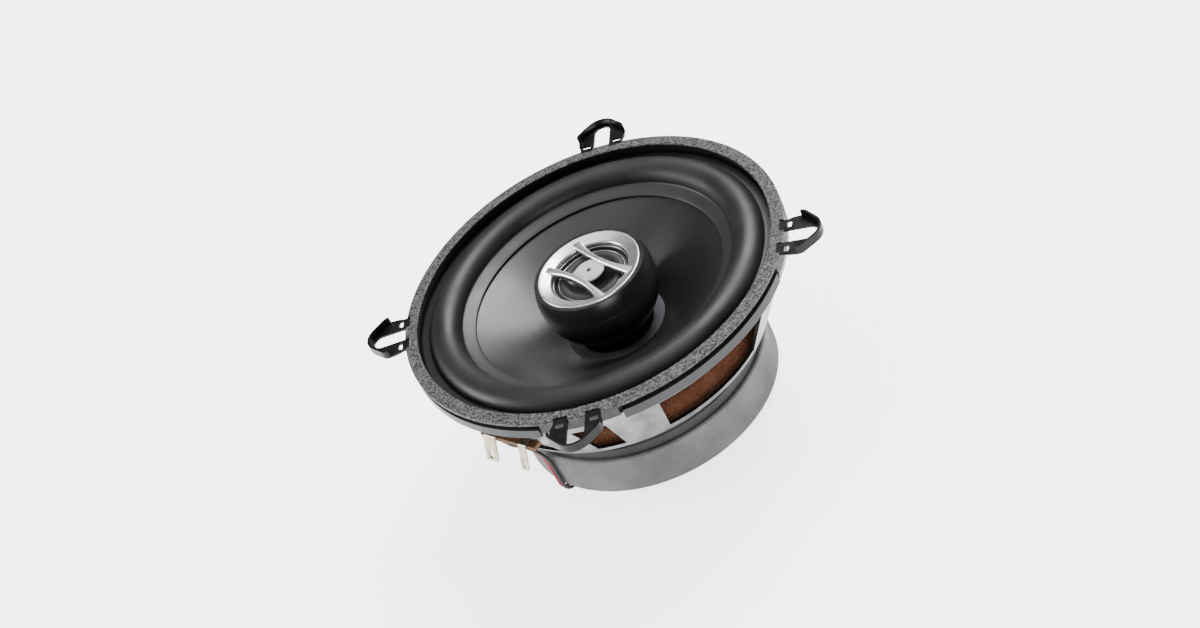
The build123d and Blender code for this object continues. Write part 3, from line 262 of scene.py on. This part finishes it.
# Blender's wave texture has 10 / pi bands to the metre at a scale of 1
WAVE_SCALE = np.pi / (10 * THREAD)
# painted light: both tones are paler than the cloth itself
spider_cloth = finish_material("phenolic dipped cotton weave", "f2ad84", "da9068", 0.62, 0.1, 0.0, 3.0)
weave_tree = spider_cloth.node_tree
weave_shader = weave_tree.nodes["Principled BSDF"]
weave_place = add(weave_tree, "ShaderNodeTexCoord").outputs["Object"]
waves = [add(weave_tree, "ShaderNodeTexWave", {"bands_direction": way, "Scale": WAVE_SCALE},
             Vector=weave_place).outputs["Fac"] for way in ("X", "Y")]
weave_height = add(weave_tree, "ShaderNodeMath", {"operation": "MULTIPLY"}, i0=waves[0], i1=waves[1])
weave_gap = add(weave_tree, "ShaderNodeMapRange", {"To Min": 0.6, "To Max": 0.0},
                Value=weave_height.outputs[0])
weave_tone = weave_shader.inputs["Base Color"].links[0].from_socket
weave_dark = add(weave_tree, "ShaderNodeMix",
                 {"data_type": "RGBA", "blend_type": "MULTIPLY", "i7": linear("a06848")},
                 Factor=weave_gap.outputs["Result"], i6=weave_tone)
weave_tree.links.new(weave_dark.outputs[2], weave_shader.inputs["Base Color"])
weave_bump = add(weave_tree, "ShaderNodeBump", {"Strength": 1.0, "Distance": 0.3 * MM},
                 Height=weave_height.outputs[0])
weave_tree.links.new(weave_bump.outputs["Normal"], weave_shader.inputs["Normal"])

CAD_FINISHES = {
    "basket": zinc_steel, "floor_rivets": plain_steel, "magnet": ferrite, "yoke": black_steel,
    "top_plate": black_steel, "front_ring": granular_plastic, "rim_trim": trim_plastic,
    "mounting_loop_front": powder_coat, "mounting_loop_right": powder_coat,
    "mounting_loop_rear": powder_coat, "mounting_loop_left": powder_coat,
    "cone": cone_polymer, "neck_ring": neck_polymer, "surround": butyl_rubber,
    "coil_former": polyimide_film, "voice_coil": copper, "spider": spider_cloth,
    "tweeter_post": black_plastic, "tweeter_housing": housing_plastic, "tweeter_bezel": satin_silver,
    "tweeter_diffuser": diffuser_plastic, "tweeter_chassis": black_plastic, "tweeter_yoke": black_steel,
    "tweeter_magnet": nickel, "tweeter_plate": plain_steel, "tweeter_dome": dome_film,
    "tweeter_edge": edge_cloth, "tweeter_coil": copper, "crossover_capacitor": capacitor_film,
    "terminal_board": fibre_board, "board_rivets": brass, "positive_terminal": tin_plate,
    "negative_terminal": tin_plate, "tweeter_lead_red": red_sleeve, "tweeter_lead_black": black_sleeve,
    "tinsel_lead_positive": braid, "tinsel_lead_negative": braid,
}
for node_name, finish in CAD_FINISHES.items():
    node_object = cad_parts[node_name]
    for material_slot in node_object.material_slots:
        material_slot.material = finish


# ------------------------------------------------------------------ new pieces
MERGE_DISTANCE = 0.001 * MM


def mesh(name, points, faces, finish, body, *nodes):
    """Makes a piece from points in millimetres and faces, with its finish, that rides on a body.

    Points that coincide, as at a pole, are merged, and every face is turned outwards. A piece with no
    body is left unattached.
    """
    data = bpy.data.meshes.new(name)
    data.from_pydata((np.asarray(points) * MM).tolist(), [], faces)
    surface = bmesh.new()
    surface.from_mesh(data)
    bmesh.ops.remove_doubles(surface, verts=surface.verts, dist=MERGE_DISTANCE)
    bmesh.ops.recalc_face_normals(surface, faces=surface.faces)
    surface.to_mesh(data)
    surface.free()
    data.polygons.foreach_set("use_smooth", [True] * len(data.polygons))
    data.update()
    piece = bpy.data.objects.new(name, data)
    bpy.context.scene.collection.objects.link(piece)
    data.materials.append(finish)
    if body:
        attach(piece, body)
    if nodes:
        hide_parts(*nodes)
    return piece


def turned_body(profile, steps=192):
    """A closed profile of (radius, height) turned about Z: x = r cos a, y = r sin a, z = h."""
    r, h = np.asarray(profile, float).T
    a = np.linspace(0, 2 * np.pi, steps, endpoint=False)[:, None]
    points = np.stack([r * np.cos(a), r * np.sin(a), h + 0 * a], -1).reshape(-1, 3)
    n = len(r)
    i, j = np.meshgrid(np.arange(steps), np.arange(n), indexing="ij")
    here, along = i * n + j, i * n + (j + 1) % n
    there, across = (i + 1) % steps * n + j, (i + 1) % steps * n + (j + 1) % n
    return points, np.stack([here, there, across, along], -1).reshape(-1, 4).tolist()


def skin(middle, thickness):
    """Closed profile round a line of (radius, height): half a thickness along its normal on each side."""
    line = np.asarray(middle, float)
    run = np.gradient(line, axis=0)
    normal = np.stack([-run[:, 1], run[:, 0]], -1) / np.linalg.norm(run, axis=1)[:, None]
    upper, lower = line + normal * thickness / 2, line - normal * thickness / 2
    return np.vstack([lower, upper[::-1]])


# ------------------------------------------------------------------ suspension
def follow_radius(piece):
    """Bakes the piece's placing into its points and reads them out; nothing more is done with them."""
    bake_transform(piece)
    count = len(piece.data.vertices)
    place = np.empty(count * 3, np.float32)
    piece.data.vertices.foreach_get("co", place)
    place = place.reshape(-1, 3)


def arc(first, last, rise, count=28):
    """Points on a circle through two ends that stands rise above the middle of its chord."""
    first, last = np.asarray(first, float), np.asarray(last, float)
    chord = last - first
    half = np.linalg.norm(chord) / 2
    up = np.array([chord[1], -chord[0]]) / (2 * half)
    up = up * np.sign(up[1])
    radius = (half * half + rise * rise) / (2 * rise)
    centre = (first + last) / 2 + up * (rise - radius)
    sweep = np.arcsin(min(1.0, half / radius))
    angle = np.linspace(-sweep, sweep, count)[:, None]
    if rise > half:
        angle = np.linspace(-np.pi + sweep, np.pi - sweep, count)[:, None]
    return centre + radius * (np.sin(angle) * chord / (2 * half) + np.cos(angle) * up)


LAND_TOP, EDGE_TOP = 55.75, 54.85
LAND_RUNS = 5
roll_line = np.vstack([[(61.3, LAND_TOP), (60.2, LAND_TOP), (59.0, LAND_TOP), (58.1, LAND_TOP + 0.08)],
                       arc((57.4, LAND_TOP + 0.2), (46.95, EDGE_TOP + 0.25), 4.3),
                       [(46.4, EDGE_TOP - 0.1), (45.9, EDGE_TOP - 0.42), (44.4, EDGE_TOP - 1.1),
                        (42.95, EDGE_TOP - 1.78), (42.72, EDGE_TOP - 2.0)]])
roll_points, roll_faces = turned_body(skin(roll_line[::-1], 0.72))
surround_piece = mesh("surround_roll", roll_points, roll_faces, butyl_rubber, None, "surround")
surround_piece.data.materials.append(land_rubber)
# the faces on the first five runs of the profile, below and above, are the inner land
ring_steps = 2 * len(roll_line)
place_in_ring = np.arange(len(roll_faces)) % ring_steps
on_land = (place_in_ring < LAND_RUNS) | (place_in_ring >= ring_steps - LAND_RUNS - 1)
surround_piece.data.polygons.foreach_set("material_index", on_land.astype(np.int32))
follow_radius(surround_piece)

# the spider's outer roll is broad and low, and the waves inside it are small
SPIDER_HEIGHT = 30.6
SPIDER_OUTER, SPIDER_INNER = 47.6, 15.4
ROLL_WIDTH, ROLL_RISE = 12.0, 1.45
WAVE_LENGTH, WAVE_RISE = 4.04, 0.9
waves_outer = SPIDER_OUTER - ROLL_WIDTH
wave_radius = np.linspace(SPIDER_OUTER, SPIDER_INNER, 280)
in_roll = wave_radius > waves_outer
outer_roll = ROLL_RISE * np.clip(np.sin((SPIDER_OUTER - wave_radius) * np.pi / ROLL_WIDTH), 0, 1) * in_roll
inner_waves = WAVE_RISE * np.sin((waves_outer - wave_radius) * 2 * np.pi / WAVE_LENGTH) * (
    wave_radius < waves_outer)
spider_line = np.vstack([[(49.2, 30.58), (48.2, 30.58)],
                         np.stack([wave_radius, SPIDER_HEIGHT + outer_roll + inner_waves], -1),
                         [(14.2, SPIDER_HEIGHT), (13.15, SPIDER_HEIGHT)]])
spider_piece = mesh("spider_weave", *turned_body(skin(spider_line[::-1], 0.45)), spider_cloth, None, "spider")
follow_radius(spider_piece)


def tube(points, radius, steps=40, sides=12):
    """A round tube along a cubic B-spline whose control points are the given ones, end points tripled.

    The route lies in one upright plane. On each span the four points' weights are (1-t)^3/6,
    (3t^3-6t^2+4)/6, (-3t^3+3t^2+3t+1)/6 and t^3/6.
    """
    controls = np.asarray([points[0]] * 2 + list(points) + [points[-1]] * 2, float)
    t = np.linspace(0, 1, steps // len(points), endpoint=False)[:, None]
    weights = [(1 - t)**3 / 6, (3 * t**3 - 6 * t**2 + 4) / 6,
               (-3 * t**3 + 3 * t**2 + 3 * t + 1) / 6, t**3 / 6]
    spans = range(len(controls) - 3)
    line = np.vstack([sum(w * controls[i + k] for k, w in enumerate(weights)) for i in spans]
                     + [controls[-1:]])
    run = np.gradient(line, axis=0)
    run /= np.linalg.norm(run, axis=1)[:, None]
    across = np.cross(controls[-1] - controls[0], (0, 0, 1))
    across /= np.linalg.norm(across)
    upward = np.cross(across, run)[:, None]
    turn = np.linspace(0, 2 * np.pi, sides, endpoint=False)[:, None]
    rings = line[:, None] + radius * (np.cos(turn) * across + np.sin(turn) * upward)
    i, j = np.meshgrid(np.arange(len(line) - 1), np.arange(sides), indexing="ij")
    k = (j + 1) % sides
    faces = np.stack([i * sides + j, i * sides + k, (i + 1) * sides + k, (i + 1) * sides + j], -1)
    faces = faces.reshape(-1, 4).tolist()
    faces += [list(range(sides)), list(range((len(line) - 1) * sides, len(line) * sides))]
    return rings.reshape(-1, 3), faces


# tinsel leads: from the board to the back of the cone, as (distance out from the axis, height)
TINSEL_ROUTE = [(48.9, 43.6), (44.0, 43.2), (39.0, 37.0), (33.5, 37.5), (30.0, 43.5)]
TINSEL_RADIUS = 0.5
TINSEL_SIDE = 9.5
TERMINAL_TURN = np.radians(-122)
for node_name, sideways in (("tinsel_lead_positive", TINSEL_SIDE), ("tinsel_lead_negative", -TINSEL_SIDE)):
    route = [(out * np.cos(TERMINAL_TURN) + sideways * np.sin(TERMINAL_TURN),
              out * np.sin(TERMINAL_TURN) - sideways * np.cos(TERMINAL_TURN), height)
             for out, height in TINSEL_ROUTE]
    tinsel = mesh(node_name.replace("lead", "braid"), *tube(route, TINSEL_RADIUS), braid, None, node_name)
    follow_radius(tinsel)

# ------------------------------------------------------------------ tweeter front
# bezel: a dished silver ring with a rounded outer edge, a raised lip inside and a bevel down to the opening
BEZEL_PROFILE = [(17.55, 57.4), (17.58, 60.7), (17.5, 61.05), (17.3, 61.2), (17.0, 61.18), (16.2, 60.92),
                 (15.0, 60.52), (14.1, 60.22), (13.7, 60.06), (13.45, 59.85), (13.34, 59.5), (13.3, 58.9),
                 (13.45, 58.75), (13.6, 58.9), (13.7, 59.3), (14.4, 59.5), (16.4, 60.1), (16.6, 57.4)]
mesh("bezel_ring", *turned_body(BEZEL_PROFILE), satin_silver, "chassis", "tweeter_bezel")

# black liner below the opening, with fine ridges down to the tweeter's edge
LINER_PROFILE = [(16.5, 57.4), (16.4, 59.9), (14.3, 59.3), (13.75, 59.1), (13.5, 58.6), (13.1, 58.45),
                 (13.0, 58.2), (12.75, 58.15), (12.7, 57.6), (12.75, 57.4)]
mesh("bezel_liner", *turned_body(LINER_PROFILE), black_plastic, "chassis")


def wire_ring(name, radius, height, thickness, finish, body):
    """A ring of round section: a small circle turned about Z."""
    turn = np.linspace(0, 2 * np.pi, 12, endpoint=False)
    circle = np.stack([radius + thickness / 2 * np.cos(turn), height + thickness / 2 * np.sin(turn)], -1)
    points, faces = turned_body(circle)
    return mesh(name, points, faces, finish, body)


# the tweeter's edge: a flat land and a half roll between the chassis and the dome
EDGE_OUTER, EDGE_INNER = 11.1, 8.4
edge_line = np.vstack([[(12.6, 57.55), (11.4, 57.55)], arc((EDGE_OUTER, 57.56), (EDGE_INNER, 57.56), 0.7),
                       [(8.25, 57.56), (8.12, 57.56)]])
edge_piece = mesh("edge_roll", *turned_body(skin(edge_line[::-1], 0.36)), edge_cloth, None, "tweeter_edge")
follow_radius(edge_piece)

wire_ring("liner_line", 12.95, 58.5, 0.22, satin_silver, "chassis")
wire_ring("edge_line", 11.35, 57.95, 0.2, satin_silver, "chassis")
wire_ring("dome_line", 8.5, 57.75, 0.2, satin_silver, "tweeter_diaphragm")

BAR_TURN = np.radians(-44.6)


def bar(side):
    """A bar's section, a rounded trapezium, carried along an arc whose ends are wider and lower.

    Along u from -1 to 1 the middle line is x = 14.75 u, y = 7.0 - 2.1 (1 - u^2). Its half width grows
    from 0.92 by 0.85 u^4, its top falls from 61.3 by 0.55 u^2, and its depth shrinks by 0.45 u^2 of it.
    """
    u = np.linspace(-1, 1, 57)[:, None]
    middle = np.stack([14.75 * u, 7.0 - 2.1 * (1 - u * u)], -1)
    run = np.gradient(middle[:, 0], axis=0)
    normal = np.stack([-run[:, 1], run[:, 0]], -1) / np.linalg.norm(run, axis=1)[:, None]
    half = 0.92 + 0.85 * u**4
    top = 61.3 - 0.55 * u * u
    section_y = np.array([-1.35, -1.0, -0.72, -0.3, 0.3, 0.72, 1.0, 1.35])
    section_z = np.array([-1.75, -0.55, -0.12, 0.0, 0.0, -0.12, -0.55, -1.75])
    xy = middle + normal[:, None, :] * (half * section_y)[..., None]
    z = top + section_z * (1 - 0.45 * u * u)
    turn = BAR_TURN + side * np.pi
    x = xy[..., 0] * np.cos(turn) - xy[..., 1] * np.sin(turn)
    y = xy[..., 0] * np.sin(turn) + xy[..., 1] * np.cos(turn)
    rows, columns = z.shape
    i, j = np.meshgrid(np.arange(rows - 1), np.arange(columns), indexing="ij")
    k = (j + 1) % columns
    faces = np.stack([i * columns + j, i * columns + k, (i + 1) * columns + k, (i + 1) * columns + j], -1)
    faces = faces.reshape(-1, 4).tolist()
    faces.append(list(range(columns))[::-1])
    faces.append(list(range((rows - 1) * columns, rows * columns)))
    return np.stack([x, y, z], -1).reshape(-1, 3), faces


for side in (0, 1):
    mesh(f"bezel_bar_{side + 1}", *bar(side), satin_silver, "chassis")

# diffuser: a round-edged disc with a conical dimple
DISC_PROFILE = [(0.0, 60.1), (0.35, 60.12), (0.75, 60.45), (0.9, 60.5), (4.6, 60.42), (4.95, 60.3),
                (5.08, 60.05), (5.08, 59.75), (4.9, 59.55), (0.0, 59.5)]
mesh("diffuser_disc", *turned_body(DISC_PROFILE[::-1]), diffuser_plastic, "chassis", "tweeter_diffuser")
DIMPLE_PROFILE = [(0.0, 60.14), (0.0, 60.52), (0.5, 60.53), (0.8, 60.5), (0.7, 60.3)]
mesh("diffuser_dimple", *turned_body(DIMPLE_PROFILE), black_plastic, "chassis")

# the housing's parting line, a fine raised seam
wire_ring("housing_seam", 19.86, 54.3, 0.3, trim_plastic, "chassis")

# ------------------------------------------------------------------ stage
def lamp(name, place, size, power, tilt_to=(0, 0, 0.03)):
    """A square soft light that points at the speaker's middle."""
    data = bpy.data.lights.new(name, "AREA")
    data.shape = "SQUARE"
    data.size = size
    data.energy = power
    light = bpy.data.objects.new(name, data)
    bpy.context.scene.collection.objects.link(light)
    light.location = place
    light.visible_camera = False
    light.rotation_mode = "QUATERNION"
    light.rotation_quaternion = (Vector(tilt_to) - Vector(place)).to_track_quat("-Z", "Y")


lamp("overhead softbox", (0.35, 0.75, 0.95), 0.7, 26)
lamp("left strip", (-0.95, -0.05, 0.45), 0.45, 9)
lamp("front fill", (0.45, -1.0, 0.22), 0.5, 7)
lamp("wide ceiling", (0.0, 0.2, 2.6), 3.0, 50)

floor_data = bpy.data.meshes.new("floor")
FLOOR_HALF = 25.0
FLOOR_DROP = 0.2 * MM
floor_corners = [(-FLOOR_HALF, -FLOOR_HALF), (FLOOR_HALF, -FLOOR_HALF), (FLOOR_HALF, FLOOR_HALF),
                 (-FLOOR_HALF, FLOOR_HALF)]
floor_data.from_pydata([(x, y, -FLOOR_DROP) for x, y in floor_corners], [], [(0, 1, 2, 3)])
floor = bpy.data.objects.new("floor", floor_data)
bpy.context.scene.collection.objects.link(floor)
# paper: plain white that glows, and more where the camera sees it, as an overexposed sweep does
paper = finish_material("matt white paper", "fafafa", "f8f8f8", 0.9, 0.02, 0.0, 60.0,
                        Emission_Color=(1, 1, 1, 1))
paper_tree = paper.node_tree
seen = add(paper_tree, "ShaderNodeLightPath").outputs["Is Camera Ray"]
glow = add(paper_tree, "ShaderNodeMapRange", {"To Min": 1.1, "To Max": 3.0}, Value=seen)
paper_tree.links.new(glow.outputs["Result"], paper_tree.nodes["Principled BSDF"].inputs["Emission Strength"])
floor_data.materials.append(paper)

world = bpy.data.worlds.new("studio")
bpy.context.scene.world = world
world.use_nodes = True
world.node_tree.nodes["Background"].inputs["Color"].default_value = (1, 1, 1, 1)
world.node_tree.nodes["Background"].inputs["Strength"].default_value = 0.25
